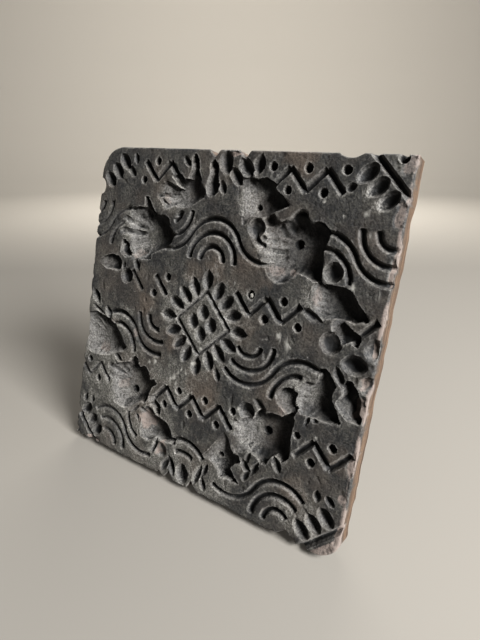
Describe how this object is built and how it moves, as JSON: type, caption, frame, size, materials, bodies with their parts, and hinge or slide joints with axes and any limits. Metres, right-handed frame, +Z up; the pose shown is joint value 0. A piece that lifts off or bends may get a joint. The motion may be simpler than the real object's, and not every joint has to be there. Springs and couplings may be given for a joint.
{
  "type": "wooden textile printing block",
  "caption": "Square wooden block with a sunk wave, zigzag, bird and flower pattern for printing cloth, with cross battens and a grip bar nailed to its back.",
  "frame": {"origin": "on the standing surface, below the middle of the block's box", "axes": "+Z up, -Y towards the viewer of the carved face, which leans back; +X to that viewer's right"},
  "size_m": [0.23, 0.1218, 0.2255],
  "materials": {
    "carved_wood": "dark dye-stained hardwood, worn matt",
    "batten_wood": "aged brown softwood, sawn and handled",
    "bar_wood": "dark hardwood, polished by hands",
    "nail_iron": "hand-forged iron, rusted brown"
  },
  "bodies": {
    "root": {"carved_board": "carved_wood", "lower_batten": "batten_wood", "upper_batten": "batten_wood", "grip_bar": "bar_wood", "lower_batten_nail_1": "nail_iron", "lower_batten_nail_2": "nail_iron", "lower_batten_nail_3": "nail_iron", "lower_batten_nail_4": "nail_iron", "upper_batten_nail_1": "nail_iron", "upper_batten_nail_2": "nail_iron", "upper_batten_nail_3": "nail_iron", "upper_batten_nail_4": "nail_iron", "lower_grip_nail_1": "nail_iron", "lower_grip_nail_2": "nail_iron", "upper_grip_nail_1": "nail_iron", "upper_grip_nail_2": "nail_iron"}
  },
  "joints": []
}
